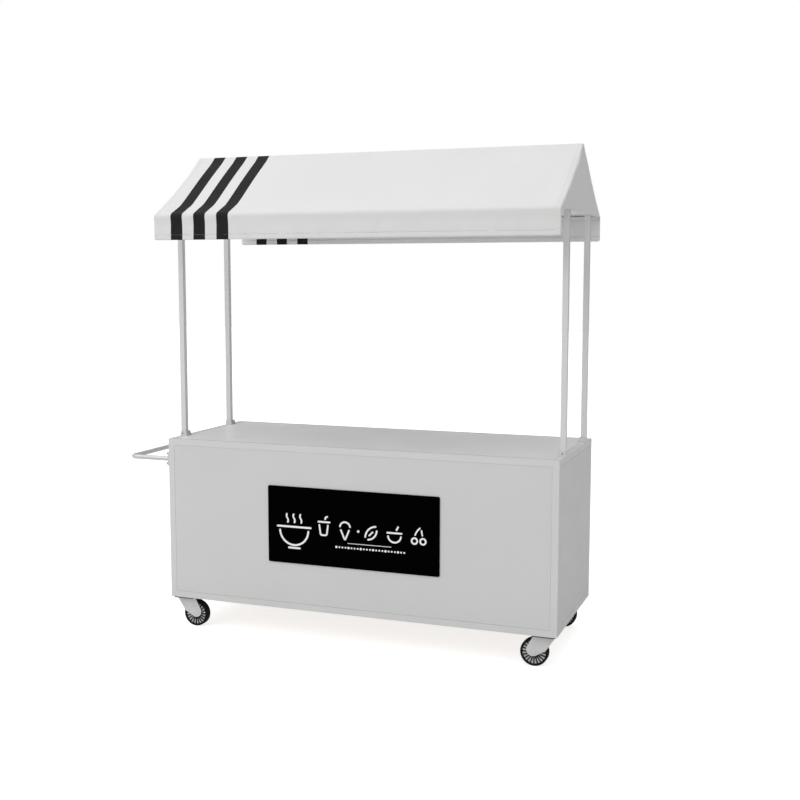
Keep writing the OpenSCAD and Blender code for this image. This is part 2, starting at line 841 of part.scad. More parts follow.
module fork(c) {
  groove_r = ball_r + ball_air;
  crown_x = fork_half - 12;
  color("lightgray") at_cart() at_caster(c) difference() {
    union() {
      for (s = [-1, 1])
        translate([0, s * (fork_in + fork_t / 2) + fork_t / 2, 0]) rotate([90, 0, 0])
          linear_extrude(fork_t) fork_outline();
      block([-crown_x, -fork_out, crown_z], [crown_x, fork_out, crown_z + crown_t]);
      translate([0, 0, crown_z]) cylinder(r = race_r, h = ball_z - race_half_gap - crown_z);
    }
    translate([0, 0, crown_z - cut]) cylinder(r = king_r + run_fit, h = caster_h);
    translate([0, 0, ball_z]) rotate_extrude() translate([ball_pitch_r, 0]) circle(r = groove_r, $fn = 32);
    translate([-trail, -fork_out - cut, axle_z]) rod_y(axle_r, 2 * fork_out + 2 * cut);
  }
}

module axle(c) {
  color("silver") at_cart() at_caster(c) translate([-trail, -fork_out, axle_z]) rod_y(axle_r, 2 * fork_out);
}

// Places its children on a wheel's axis, which then runs along local z.
module at_wheel(c) {
  at_caster(c) translate([-trail, 0, axle_z]) rotate([90, 0, 0]) children();
}

module core(c) {
  hub_half = fork_in - hub_air;
  color("whitesmoke") at_cart() at_wheel(c) difference() {
    union() {
      cylinder(r = core_r, h = 2 * web_half, center = true);
      cylinder(r = hub_r, h = 2 * hub_half, center = true);
    }
    cylinder(r = axle_r + run_fit, h = 2 * hub_half + 2 * cut, center = true);
  }
}

// A hub cap on each face: a ring round the hub and the radial ribs.
module caps(c) {
  ring_w = 5;
  color("black") at_cart() at_wheel(c) for (s = [-1, 1])
    translate([0, 0, s > 0 ? web_half : -web_half - rib_h]) linear_extrude(rib_h) difference() {
      union() {
        circle(r = hub_r + ring_w);
        for (i = [0:rib_count - 1]) rotate(i * 360 / rib_count)
          translate([hub_r + 1, -rib_w / 2]) square([core_r - hub_r - 2, rib_w]);
      }
      circle(r = hub_r + run_fit);
    }
}

// A solid tyre with a slightly crowned tread.
module tyre(c) {
  half = tyre_w / 2;
  edge = 3;
  color("black") at_cart() at_wheel(c) rotate_extrude($fn = 96)
    polygon([
      [core_r, -half], [wheel_r - edge, -half], [wheel_r - 0.8, -half + edge], [wheel_r, -half / 2],
      [wheel_r, half / 2], [wheel_r - 0.8, half - edge], [wheel_r - edge, half], [core_r, half]
    ]);
}

base_frame();
top_frame();
front_uprights();
rear_uprights();
front_panel();
left_panel();
right_panel();
counter_panel();
counter_bearers();
floor_board();
shelf();
shelf_cleats();
door_left();
door_right();
door_catches();
hinge_frame_leaves();
hinge_pins();
hinge_leaves_left();
hinge_leaves_right();
pull_left();
pull_right();
sign_board();
handle_bar();
handle_flanges();
handle_bolts();
post_front_left();
post_front_right();
post_rear_left();
post_rear_right();
post_sockets();
set_screws();
eave_rails();
side_rails();
king_posts();
ridge_tube();
canopy_cover();
caster_plates();
caster_bolts();
king_pins();
race_balls();
fork(FL);  // fork_fl
fork(FR);  // fork_fr
fork(RL);  // fork_rl
fork(RR);  // fork_rr
axle(FL);  // axle_fl
axle(FR);  // axle_fr
axle(RL);  // axle_rl
axle(RR);  // axle_rr
core(FL);  // core_fl
core(FR);  // core_fr
core(RL);  // core_rl
core(RR);  // core_rr
caps(FL);  // caps_fl
caps(FR);  // caps_fr
caps(RL);  // caps_rl
caps(RR);  // caps_rr
tyre(FL);  // tyre_fl
tyre(FR);  // tyre_fr
tyre(RL);  // tyre_rl
tyre(RR);  // tyre_rr
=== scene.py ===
# %% [markdown]
# # A push vending cart
#
# The cart is a painted cabinet on four swivel casters, with a push handle, four posts and a pitched
# cloth canopy. Its sizes, joints and fasteners come from a finished CAD model, which is loaded here as a
# fixed frame. This script gives that frame its looks: rounded edges, real cloth, a printed sign, and a
# material for every finish. Everything is in metres, with Z up, and the customer stands on the -Y side.

# %% Load the frame
import json
from math import cos, pi, radians, sin

import bmesh
import bpy
from mathutils import Matrix, Vector, noise
from mathutils.bvhtree import BVHTree

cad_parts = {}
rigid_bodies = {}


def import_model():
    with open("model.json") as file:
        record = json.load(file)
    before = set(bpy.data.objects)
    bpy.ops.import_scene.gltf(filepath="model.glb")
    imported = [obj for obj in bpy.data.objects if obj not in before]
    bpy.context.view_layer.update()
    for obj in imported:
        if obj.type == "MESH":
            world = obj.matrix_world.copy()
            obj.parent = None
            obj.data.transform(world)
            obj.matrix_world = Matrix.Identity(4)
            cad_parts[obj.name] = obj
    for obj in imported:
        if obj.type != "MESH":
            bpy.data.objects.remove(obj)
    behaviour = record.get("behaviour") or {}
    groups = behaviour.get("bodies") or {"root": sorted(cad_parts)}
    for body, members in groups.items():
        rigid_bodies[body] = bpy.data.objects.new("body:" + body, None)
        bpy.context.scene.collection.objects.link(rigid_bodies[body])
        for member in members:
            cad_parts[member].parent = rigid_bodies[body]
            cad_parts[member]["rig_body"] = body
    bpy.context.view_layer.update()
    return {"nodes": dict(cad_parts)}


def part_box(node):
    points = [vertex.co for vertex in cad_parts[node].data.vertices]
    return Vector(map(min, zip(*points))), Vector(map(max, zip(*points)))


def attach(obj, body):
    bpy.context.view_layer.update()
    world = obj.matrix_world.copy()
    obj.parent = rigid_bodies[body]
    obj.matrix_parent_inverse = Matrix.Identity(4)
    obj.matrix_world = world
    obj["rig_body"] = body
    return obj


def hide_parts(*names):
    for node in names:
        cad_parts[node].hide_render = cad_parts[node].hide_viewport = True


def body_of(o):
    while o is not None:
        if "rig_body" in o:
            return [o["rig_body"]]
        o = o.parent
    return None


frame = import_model()
scene = bpy.context.scene

# %% [markdown]
# ## Camera
#
# A cart is best seen a little from above and from one side, so that the front, an end and the counter all
# show. The camera stands 5 m away at eye height. A long lens keeps the upright edges nearly parallel.

# %% Camera
eye = (2.076, -5.0768, 1.6908)
looking = (radians(83.87), radians(-0.05), radians(20.19))
camera_data = bpy.data.cameras.new("camera")
camera_data.sensor_width = 36
camera_data.lens = 51.53
camera = bpy.data.objects.new("camera", camera_data)
camera.location = eye
camera.rotation_euler = looking
scene.collection.objects.link(camera)
scene.camera = camera
print("camera at", eye, "with a lens of", camera_data.lens, "mm")

# %% [markdown]
# ## Floor and light
#
# White paint shows only what the light does to it. A pale floor and a soft dome of light, brightest above
# and in front, give each face of the cabinet its own grey and leave no hard shadow. One large lamp adds the
# gentle highlight along the steel parts.

# %% Floor
floor_size = 60.0
floor_grey = 0.58
glow_on_parts, glow_seen = 0.19, 0.75
floor_shape = bmesh.new()
bmesh.ops.create_grid(floor_shape, x_segments=1, y_segments=1, size=floor_size / 2)
floor_mesh = bpy.data.meshes.new("floor")
floor_shape.to_mesh(floor_mesh)
floor_shape.free()
floor = bpy.data.objects.new("floor", floor_mesh)
scene.collection.objects.link(floor)
floor_paint = bpy.data.materials.new("floor_paint")
floor_paint.use_nodes = True
floor_shader = floor_paint.node_tree.nodes["Principled BSDF"]
floor_shader.inputs["Base Color"].default_value = (floor_grey, floor_grey, floor_grey, 1)
floor_shader.inputs["Roughness"].default_value = 0.9
floor_shader.inputs["Specular IOR Level"].default_value = 0.1
floor_shader.inputs["Emission Color"].default_value = (1, 1, 1, 1)
floor_tree = floor_paint.node_tree
seen = floor_tree.nodes.new("ShaderNodeLightPath")
glow = floor_tree.nodes.new("ShaderNodeMix")
glow.inputs["A"].default_value = glow_on_parts
glow.inputs["B"].default_value = glow_seen
floor_tree.links.new(seen.outputs["Is Camera Ray"], glow.inputs["Factor"])
floor_tree.links.new(glow.outputs["Result"], floor_shader.inputs["Emission Strength"])
floor_mesh.materials.append(floor_paint)
print("floor:", floor_size, "m square")

# %% A dome of light, brightest above and in front
dome_from = Vector((-0.12, -0.25, 0.95)).normalized()
dome_dim, dome_bright = 0.12, 1.36
dome_starts = 0.1
background = 1.0
world = bpy.data.worlds.new("studio")
scene.world = world
world.use_nodes = True
sky = world.node_tree
sky_light = sky.nodes["Background"]
sky_light.inputs["Color"].default_value = (1, 1, 1, 1)
way = sky.nodes.new("ShaderNodeTexCoord")
facing = sky.nodes.new("ShaderNodeVectorMath")
facing.operation = "DOT_PRODUCT"
facing.inputs[1].default_value = dome_from
sky.links.new(way.outputs["Generated"], facing.inputs[0])
level = sky.nodes.new("ShaderNodeMapRange")
level.interpolation_type = "SMOOTHSTEP"
level.inputs["From Min"].default_value = dome_starts
level.inputs["From Max"].default_value = 1.0
level.inputs["To Min"].default_value = dome_dim
level.inputs["To Max"].default_value = dome_bright
sky.links.new(facing.outputs["Value"], level.inputs["Value"])
seen = sky.nodes.new("ShaderNodeLightPath")
choice = sky.nodes.new("ShaderNodeMix")
choice.inputs["B"].default_value = background
sky.links.new(seen.outputs["Is Camera Ray"], choice.inputs["Factor"])
sky.links.new(level.outputs["Result"], choice.inputs["A"])
sky.links.new(choice.outputs["Result"], sky_light.inputs["Strength"])
print("dome:", dome_dim, "to", dome_bright)

# %% One large soft lamp, in front and to the left
lamp_at, lamp_aim = Vector((-3.2, -5.2, 4.6)), Vector((0.1, 0, 1.0))
lamp_power = 66
lamp_data = bpy.data.lights.new("soft_lamp", "AREA")
lamp_data.shape = "RECTANGLE"
lamp_data.size = 4.0
lamp_data.size_y = 3.0
lamp_data.energy = lamp_power
lamp = bpy.data.objects.new("soft_lamp", lamp_data)
lamp.location = lamp_at
lamp.rotation_euler = (lamp_aim - lamp.location).to_track_quat("-Z", "Y").to_euler()
scene.collection.objects.link(lamp)
scene.view_settings.view_transform = "Standard"
print("lamp:", lamp_power, "W")

# %% [markdown]
# ## Helpers for node trees
#
# A finish is a shader with a few patterns plugged in. Two small helpers keep the cells below short: one
# starts a material, the other starts a node group with named sockets.

# %% Start a material or a node group
def start_material(name, grey, roughness, metallic=0.0):
    """A new material, its node tree and its shader. grey is one number, or three for a colour."""
    material = bpy.data.materials.new(name)
    material.use_nodes = True
    shader = material.node_tree.nodes["Principled BSDF"]
    colour = (grey, grey, grey) if isinstance(grey, float) else grey
    shader.inputs["Base Color"].default_value = (*colour, 1)
    shader.inputs["Roughness"].default_value = roughness
    shader.inputs["Metallic"].default_value = metallic
    return material, material.node_tree, shader


def start_group(name, inputs, outputs):
    """A new shader group with its input and output nodes. Sockets are {name: default} and [names]."""
    group = bpy.data.node_groups.new(name, "ShaderNodeTree")
    for label, value in inputs.items():
        kind = "NodeSocketVector" if value is None else "NodeSocketFloat"
        socket = group.interface.new_socket(label, in_out="INPUT", socket_type=kind)
        if value is not None:
            socket.default_value = value
    for label in outputs:
        group.interface.new_socket(label, in_out="OUTPUT", socket_type="NodeSocketFloat")
    return group, group.nodes.new("NodeGroupInput"), group.nodes.new("NodeGroupOutput")


def add(tree, kind, **settings):
    """A new node. A setting named after one of its properties is set, and any other is an input's value."""
    node = tree.nodes.new(kind)
    for key, value in settings.items():
        if hasattr(node, key):
            setattr(node, key, value)
        else:
            node.inputs[key.replace("_", " ")].default_value = value
    return node


def use(tree, group, **values):
    """A shader group placed in a tree, with its own values."""
    node = tree.nodes.new("ShaderNodeGroup")
    node.node_tree = group
    for key, value in values.items():
        node.inputs[key].default_value = value
    return node


def maths(tree, operation, a, b):
    """A Math node. a and b are sockets or numbers."""
    node = add(tree, "ShaderNodeMath", operation=operation)
    for i, value in enumerate((a, b)):
        if isinstance(value, bpy.types.NodeSocket):
            tree.links.new(value, node.inputs[i])
        else:
            node.inputs[i].default_value = value
    return node.outputs[0]

# %% [markdown]
# ## Patterns that several finishes share
#
# Powder coat, laminate, cloth and rubber all have fine grain, a little unevenness over a hand's width, and
# edges that look a touch different from the faces. Each of these is one shader group, with its scale and
# strength as inputs.

# %% Grain: fine noise, for bump
grain, grain_in, grain_out = start_group("grain", {"Scale": 900.0, "Rough": 0.5}, ["Height"])
place = add(grain, "ShaderNodeTexCoord")
speck = add(grain, "ShaderNodeTexNoise", Detail=2.0)
grain.links.new(place.outputs["Object"], speck.inputs["Vector"])
grain.links.new(grain_in.outputs["Scale"], speck.inputs["Scale"])
grain.links.new(grain_in.outputs["Rough"], speck.inputs["Roughness"])
grain.links.new(speck.outputs["Fac"], grain_out.inputs["Height"])
print("group:", grain.name)

# %% Unevenness: broad, soft patches between two levels
uneven, uneven_in, uneven_out = start_group("uneven", {"Scale": 3.0, "Low": 0.4, "High": 0.6}, ["Level"])
place = add(uneven, "ShaderNodeTexCoord")
patch = add(uneven, "ShaderNodeTexNoise", Detail=4.0, Roughness=0.55)
spread = add(uneven, "ShaderNodeMapRange")
spread.inputs["From Min"].default_value = 0.3
spread.inputs["From Max"].default_value = 0.7
uneven.links.new(place.outputs["Object"], patch.inputs["Vector"])
uneven.links.new(uneven_in.outputs["Scale"], patch.inputs["Scale"])
uneven.links.new(patch.outputs["Fac"], spread.inputs["Value"])
uneven.links.new(uneven_in.outputs["Low"], spread.inputs["To Min"])
uneven.links.new(uneven_in.outputs["High"], spread.inputs["To Max"])
uneven.links.new(spread.outputs["Result"], uneven_out.inputs["Level"])
print("group:", uneven.name)

# %% Edge wear: a broken line along the sharp edges
wear_starts, wear_full = 0.995, 0.9
edge_wear, edge_in, edge_out = start_group("edge_wear", {"Radius": 0.003, "Broken": 60.0}, ["Mask"])
round_normal = add(edge_wear, "ShaderNodeBevel", samples=4)
true_normal = add(edge_wear, "ShaderNodeNewGeometry")
alike = add(edge_wear, "ShaderNodeVectorMath", operation="DOT_PRODUCT")
edge_wear.links.new(edge_in.outputs["Radius"], round_normal.inputs["Radius"])
edge_wear.links.new(round_normal.outputs["Normal"], alike.inputs[0])
edge_wear.links.new(true_normal.outputs["Normal"], alike.inputs[1])
place = add(edge_wear, "ShaderNodeTexCoord")
chips = add(edge_wear, "ShaderNodeTexNoise", Detail=3.0)
edge_wear.links.new(place.outputs["Object"], chips.inputs["Vector"])
edge_wear.links.new(edge_in.outputs["Broken"], chips.inputs["Scale"])
edge = add(edge_wear, "ShaderNodeMapRange")
edge.inputs["From Min"].default_value = wear_starts
edge.inputs["From Max"].default_value = wear_full
edge_wear.links.new(alike.outputs["Value"], edge.inputs["Value"])
worn = maths(edge_wear, "MULTIPLY", edge.outputs["Result"], chips.outputs["Fac"])
edge_wear.links.new(worn, edge_out.inputs["Mask"])
print("group:", edge_wear.name)

# %% Dust: a thin film that gathers low down
dust, dust_in, dust_out = start_group("dust", {"Height": 0.35, "Amount": 0.5}, ["Mask"])
place = add(dust, "ShaderNodeTexCoord")
split = add(dust, "ShaderNodeSeparateXYZ")
dust.links.new(place.outputs["Object"], split.inputs["Vector"])
fade = add(dust, "ShaderNodeMapRange", interpolation_type="SMOOTHSTEP")
fade.inputs["From Min"].default_value = 0.0
dust.links.new(dust_in.outputs["Height"], fade.inputs["From Max"])
dust.links.new(split.outputs["Z"], fade.inputs["Value"])
fade.inputs["To Min"].default_value = 1.0
fade.inputs["To Max"].default_value = 0.0
cloud = add(dust, "ShaderNodeTexNoise", Scale=9.0, Detail=6.0)
dust.links.new(place.outputs["Object"], cloud.inputs["Vector"])
film = maths(dust, "MULTIPLY", fade.outputs["Result"], cloud.outputs["Fac"])
dust.links.new(maths(dust, "MULTIPLY", film, dust_in.outputs["Amount"]), dust_out.inputs["Mask"])
print("group:", dust.name)

# %% [markdown]
# ## Painted and plated finishes
#
# Every hard finish is put together in the same way. The base colour is mixed towards a slightly different
# tone by soft patches, then towards the wear tone along edges and the dust tone low down. The roughness
# varies a little, and a fine grain gives the bump. Only the numbers differ between powder coat, laminate,
# zinc plate and rubber, so one function makes them all.

# %% One recipe for the hard finishes
dust_tone = (0.33, 0.31, 0.28, 1)
gloss_low, gloss_high = 0.88, 1.12
bump_distance = 0.001


def hard_finish(name, grey, roughness, metallic=0.0, shade=0.94, patch_scale=3.0, grain_scale=700.0,
                bump=0.05, worn=None, wear_radius=0.002, dusty=0.0, coat=0.0):
    """A material with patches, grain, wear and dust. shade darkens the patches, worn is the edges' tone."""
    material, tree, shader = start_material(name, grey, roughness, metallic)
    colour = tuple(shader.inputs["Base Color"].default_value)
    patches = use(tree, uneven, Scale=patch_scale, Low=0.0, High=1.0)
    tint = add(tree, "ShaderNodeMix", data_type="RGBA")
    tint.inputs["A"].default_value = colour
    tint.inputs["B"].default_value = (*(c * shade for c in colour[:3]), 1)
    tree.links.new(patches.outputs["Level"], tint.inputs["Factor"])
    last = tint.outputs["Result"]
    if worn is not None:
        edges = use(tree, edge_wear, Radius=wear_radius)
        wear = add(tree, "ShaderNodeMix", data_type="RGBA")
        wear.inputs["B"].default_value = (worn, worn, worn, 1)
        tree.links.new(edges.outputs["Mask"], wear.inputs["Factor"])
        tree.links.new(last, wear.inputs["A"])
        last = wear.outputs["Result"]
    if dusty:
        film = use(tree, dust, Amount=dusty)
        dirt = add(tree, "ShaderNodeMix", data_type="RGBA")
        dirt.inputs["B"].default_value = dust_tone
        tree.links.new(film.outputs["Mask"], dirt.inputs["Factor"])
        tree.links.new(last, dirt.inputs["A"])
        last = dirt.outputs["Result"]
    tree.links.new(last, shader.inputs["Base Color"])
    gloss = use(tree, uneven, Scale=patch_scale * 4, Low=roughness * gloss_low, High=roughness * gloss_high)
    tree.links.new(gloss.outputs["Level"], shader.inputs["Roughness"])
    fine = use(tree, grain, Scale=grain_scale)
    relief = add(tree, "ShaderNodeBump", Strength=bump, Distance=bump_distance)
    tree.links.new(fine.outputs["Height"], relief.inputs["Height"])
    tree.links.new(relief.outputs["Normal"], shader.inputs["Normal"])
    shader.inputs["Coat Weight"].default_value = coat
    shader.inputs["Coat Roughness"].default_value = 0.15
    return material

# %% [markdown]
# The cabinet has a white coat, slightly grey so that it isn't lost against a white wall. The counter is a
# pale laminate. The posts and the handle have the same coat with more gloss, and the casters are plated.

# %% Finishes of the cabinet, posts and handle
finishes = {
    "frame_paint": hard_finish("frame_paint", 0.70, 0.42, worn=0.80, dusty=0.22, shade=0.97),
    "panel_paint": hard_finish("panel_paint", 0.68, 0.45, worn=0.78, dusty=0.18, shade=0.975),
    "counter_laminate": hard_finish("counter_laminate", 0.87, 0.38, shade=0.95, patch_scale=5.0,
                                    grain_scale=1500.0, bump=0.03, worn=0.90),
    "post_paint": hard_finish("post_paint", 0.74, 0.36, worn=0.82, shade=0.97),
    "handle_steel": hard_finish("handle_steel", 0.68, 0.30, metallic=0.25, shade=0.93, patch_scale=14.0),
    "socket_cast": hard_finish("socket_cast", 0.62, 0.48, metallic=0.2, grain_scale=420.0, bump=0.16,
                               worn=0.72),
}
print("finishes:", sorted(finishes))

# %% Finishes of the fittings and casters
finishes.update({
    "zinc_steel": hard_finish("zinc_steel", 0.55, 0.36, metallic=0.85, shade=0.82, patch_scale=30.0,
                              bump=0.08),
    "bright_steel": hard_finish("bright_steel", 0.66, 0.20, metallic=1.0, shade=0.9, patch_scale=20.0,
                                bump=0.02),
    # this near-black is painted shade on the caster plates; on the set screws it is their own dark finish
    "dark_zinc": hard_finish("dark_zinc", 0.075, 0.42, metallic=0.6, shade=0.7, patch_scale=25.0, worn=0.3),
    "fork_steel": hard_finish("fork_steel", 0.72, 0.38, metallic=0.35, shade=0.93, patch_scale=18.0,
                              worn=0.80, dusty=0.06),
    "wheel_core": hard_finish("wheel_core", 0.78, 0.45, shade=0.93, patch_scale=22.0, dusty=0.16),
    "black_plastic": hard_finish("black_plastic", 0.006, 0.5, shade=0.6, patch_scale=25.0, bump=0.12,
                                 grain_scale=500.0, worn=0.015, dusty=0.008),
    "tyre_rubber": hard_finish("tyre_rubber", 0.006, 0.72, shade=0.6, patch_scale=16.0, bump=0.22,
                               grain_scale=380.0, dusty=0.012),
})
for name in ("black_plastic", "tyre_rubber"):
    finishes[name].node_tree.nodes["Principled BSDF"].inputs["Specular IOR Level"].default_value = 0.2
print("finishes:", len(finishes))

# %% [markdown]
# Three finishes need more than that recipe. Plywood shows long grain on its faces and thin plies on its
# edges. The sign is a black board that hardly reflects. Its pictures are white acrylic.

# %% Plywood: long grain on the faces
plywood, tree, shader = start_material("plywood", (0.62, 0.50, 0.37), 0.55)
place = add(tree, "ShaderNodeTexCoord")
stretch = add(tree, "ShaderNodeMapping")
stretch.inputs["Scale"].default_value = (1.5, 28.0, 28.0)
tree.links.new(place.outputs["Object"], stretch.inputs["Vector"])
fibre = add(tree, "ShaderNodeTexNoise", Scale=6.0, Detail=8.0, Distortion=0.6)
tree.links.new(stretch.outputs["Vector"], fibre.inputs["Vector"])
face_colour = add(tree, "ShaderNodeMix", data_type="RGBA")
face_colour.inputs["A"].default_value = (0.68, 0.55, 0.41, 1)
face_colour.inputs["B"].default_value = (0.50, 0.38, 0.26, 1)
tree.links.new(fibre.outputs["Fac"], face_colour.inputs["Factor"])
print("plywood grain:", fibre.name)

# %% Plywood: thin plies on the edges
ply_t = 0.0015
split = add(tree, "ShaderNodeSeparateXYZ")
tree.links.new(place.outputs["Object"], split.inputs["Vector"])
ply = maths(tree, "PINGPONG", split.outputs["Z"], ply_t)
dark_ply = maths(tree, "GREATER_THAN", ply, ply_t / 2)
edge_colour = add(tree, "ShaderNodeMix", data_type="RGBA")
edge_colour.inputs["A"].default_value = (0.66, 0.50, 0.32, 1)
edge_colour.inputs["B"].default_value = (0.33, 0.21, 0.11, 1)
tree.links.new(dark_ply, edge_colour.inputs["Factor"])
normal = add(tree, "ShaderNodeNewGeometry")
upright = add(tree, "ShaderNodeSeparateXYZ")
tree.links.new(normal.outputs["Normal"], upright.inputs["Vector"])
flat_face = maths(tree, "GREATER_THAN", maths(tree, "ABSOLUTE", upright.outputs["Z"], 0.0), 0.5)
board = add(tree, "ShaderNodeMix", data_type="RGBA")
tree.links.new(flat_face, board.inputs["Factor"])
tree.links.new(edge_colour.outputs["Result"], board.inputs["A"])
tree.links.new(face_colour.outputs["Result"], board.inputs["B"])
tree.links.new(board.outputs["Result"], shader.inputs["Base Color"])
relief = add(tree, "ShaderNodeBump", Strength=0.15, Distance=bump_distance)
tree.links.new(fibre.outputs["Fac"], relief.inputs["Height"])
tree.links.new(relief.outputs["Normal"], shader.inputs["Normal"])
finishes["plywood"] = plywood
print("plies:", ply_t, "m thick")

# %% Sign black and white acrylic
finishes["sign_black"] = hard_finish("sign_black", 0.0003, 0.5, shade=0.7, patch_scale=6.0, bump=0.01)
finishes["sign_black"].node_tree.nodes["Principled BSDF"].inputs["Specular IOR Level"].default_value = 0.01
finishes["white_acrylic"] = hard_finish("white_acrylic", 0.93, 0.35, shade=0.98, patch_scale=12.0, bump=0.01)
print("finishes:", len(finishes))

# %% [markdown]
# ## From CAD solid to finished piece
#
# A CAD solid has perfectly sharp edges, and nothing real does. Each sheet, tube and board is copied, its
# flat faces are put back together, and its sharp edges get a small round. The round catches a thin line of
# light, which is what makes painted steel look solid. The copy rides on the same body as its node.

# %% Make a piece from a bmesh, and round a CAD node
def make_piece(shape, name, body, finish, smooth_under=35):
    """Turns a bmesh into a finished piece. Edges that bend by less than smooth_under degrees look smooth."""
    mesh = bpy.data.meshes.new(name)
    shape.to_mesh(mesh)
    shape.free()
    piece = bpy.data.objects.new(name, mesh)
    scene.collection.objects.link(piece)
    mesh.materials.append(finishes[finish])
    mesh.shade_smooth()
    mesh.set_sharp_from_angle(angle=radians(smooth_under))
    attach(piece, body)
    return piece


def copy_of(node):
    """A bmesh of a CAD node with its loose triangles joined and its flat faces put back together."""
    shape = bmesh.new()
    shape.from_mesh(frame["nodes"][node].data)
    bmesh.ops.remove_doubles(shape, verts=shape.verts, dist=1e-6)
    bmesh.ops.dissolve_limit(shape, angle_limit=radians(0.5), verts=shape.verts, edges=shape.edges)
    return shape


def rounded(node, finish, width, segments=3, sharper_than=40):
    """A copy of a CAD node with its sharp edges rounded, which stands in for the node."""
    shape = copy_of(node)
    sharp = [e for e in shape.edges if e.is_manifold and e.calc_face_angle() > radians(sharper_than)]
    bmesh.ops.bevel(shape, geom=sharp, offset=width, offset_type="OFFSET", segments=segments,
                    profile=0.5, affect="EDGES", material=-1, clamp_overlap=True)
    # slivers and many-sided faces are cleared up, so that the mesh stays closed when it is cut into triangles
    bmesh.ops.dissolve_degenerate(shape, dist=1e-6, edges=shape.edges)
    bmesh.ops.triangulate(shape, faces=[f for f in shape.faces if len(f.verts) > 4])
    body = body_of(frame["nodes"][node])[0]
    piece = make_piece(shape, node + "_finished", body, finish)
    even = piece.modifiers.new("even_normals", "WEIGHTED_NORMAL")
    even.keep_sharp = True
    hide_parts(node)
    return piece

# %% Cabinet: frame, panels, doors and boards
mm = 0.001
cabinet = {
    "base_frame": ("frame_paint", 0.8), "top_frame": ("frame_paint", 0.8),
    "front_uprights": ("frame_paint", 0.8), "rear_uprights": ("frame_paint", 0.8),
    "counter_bearers": ("frame_paint", 0.6), "front_panel": ("panel_paint", 0.4),
    "left_panel": ("panel_paint", 0.4), "right_panel": ("panel_paint", 0.4),
    "door_left": ("panel_paint", 1.0), "door_right": ("panel_paint", 1.0),
    "counter_panel": ("counter_laminate", 0.4), "floor_board": ("plywood", 0.5), "shelf": ("plywood", 1.0),
    "shelf_cleats": ("zinc_steel", 0.5), "door_catches": ("black_plastic", 1.0),
}
for node, (finish, width) in cabinet.items():
    rounded(node, finish, width * mm)
print("cabinet pieces:", len(cabinet))

# %% Posts, sockets, canopy frame and handle flanges
posts = [f"post_{end}_{side}" for end in ("front", "rear") for side in ("left", "right")]
uprights = {post: ("post_paint", 0.8) for post in posts}
uprights.update({
    "post_sockets": ("socket_cast", 0.8), "eave_rails": ("frame_paint", 0.6),
    "side_rails": ("frame_paint", 0.4), "king_posts": ("frame_paint", 0.4),
    "handle_flanges": ("handle_steel", 1.0),
})
for node, (finish, width) in uprights.items():
    rounded(node, finish, width * mm)
print("canopy frame pieces:", len(uprights))

# %% Fittings that only need their finish
def keep(node, finish):
    """A CAD node that is shown as it is, with a finish."""
    mesh = frame["nodes"][node].data
    mesh.materials.clear()
    mesh.materials.append(finishes[finish])


corners = ("fl", "fr", "rl", "rr")
kept = {"ridge_tube": "frame_paint", "handle_bar": "handle_steel", "handle_bolts": "bright_steel",
        "hinge_frame_leaves": "zinc_steel", "hinge_leaves_left": "zinc_steel",
        "hinge_leaves_right": "zinc_steel", "hinge_pins": "bright_steel", "pull_left": "bright_steel",
        "pull_right": "bright_steel", "set_screws": "dark_zinc", "caster_bolts": "zinc_steel",
        "king_pins": "bright_steel", "race_balls": "bright_steel"}
kept.update({f"axle_{c}": "bright_steel" for c in corners})
for node, finish in kept.items():
    keep(node, finish)
print("kept as they are:", len(kept))

# %% [markdown]
# ## Canopy cloth
#
# The canopy is white awning canvas with three black bands at its left end. Canvas is woven, so its finish
# starts with a weave: two sets of threads that cross. The bands are part of the cloth, so they follow the
# cloth's own map, in metres from the left end. They then bend over the eaves with the cloth.

# %% Weave: threads that cross, by the cloth's own map
weave, weave_in, weave_out = start_group("weave", {"Thread": 0.0011}, ["Height"])
cloth_map = add(weave, "ShaderNodeUVMap", uv_map="cloth")
threads = add(weave, "ShaderNodeSeparateXYZ")
weave.links.new(cloth_map.outputs["UV"], threads.inputs["Vector"])
heights = []
for axis in ("X", "Y"):
    turns = maths(weave, "DIVIDE", threads.outputs[axis], weave_in.outputs["Thread"])
    heights.append(maths(weave, "SINE", maths(weave, "MULTIPLY", turns, 2 * pi), 0.0))
crossing = maths(weave, "MULTIPLY", heights[0], heights[1])
weave.links.new(maths(weave, "ADD", crossing, 1.0), weave_out.inputs["Height"])
print("group:", weave.name)

# %% Canopy cloth: canvas with three black bands
band_start, band_width, band_pitch, band_count = 0.087, 0.060, 0.119, 3
canvas, tree, shader = start_material("canopy_cloth", 0.80, 0.78)
cloth_map = add(tree, "ShaderNodeUVMap", uv_map="cloth")
along = add(tree, "ShaderNodeSeparateXYZ")
tree.links.new(cloth_map.outputs["UV"], along.inputs["Vector"])
bands = None
for i in range(band_count):
    middle = band_start + i * band_pitch + band_width / 2
    off = maths(tree, "ABSOLUTE", maths(tree, "SUBTRACT", along.outputs["X"], middle), 0.0)
    band = maths(tree, "LESS_THAN", off, band_width / 2)
    bands = band if bands is None else maths(tree, "ADD", bands, band)
patches = use(tree, uneven, Scale=2.2, Low=0.0, High=1.0)
white = add(tree, "ShaderNodeMix", data_type="RGBA")
white.inputs["A"].default_value = (0.80, 0.80, 0.80, 1)
white.inputs["B"].default_value = (0.775, 0.775, 0.77, 1)
black = add(tree, "ShaderNodeMix", data_type="RGBA")
black.inputs["A"].default_value = (0.010, 0.010, 0.011, 1)
black.inputs["B"].default_value = (0.015, 0.015, 0.016, 1)
cloth_colour = add(tree, "ShaderNodeMix", data_type="RGBA")
for tone, socket in ((white, "A"), (black, "B")):
    tree.links.new(patches.outputs["Level"], tone.inputs["Factor"])
    tree.links.new(tone.outputs["Result"], cloth_colour.inputs[socket])
tree.links.new(bands, cloth_colour.inputs["Factor"])
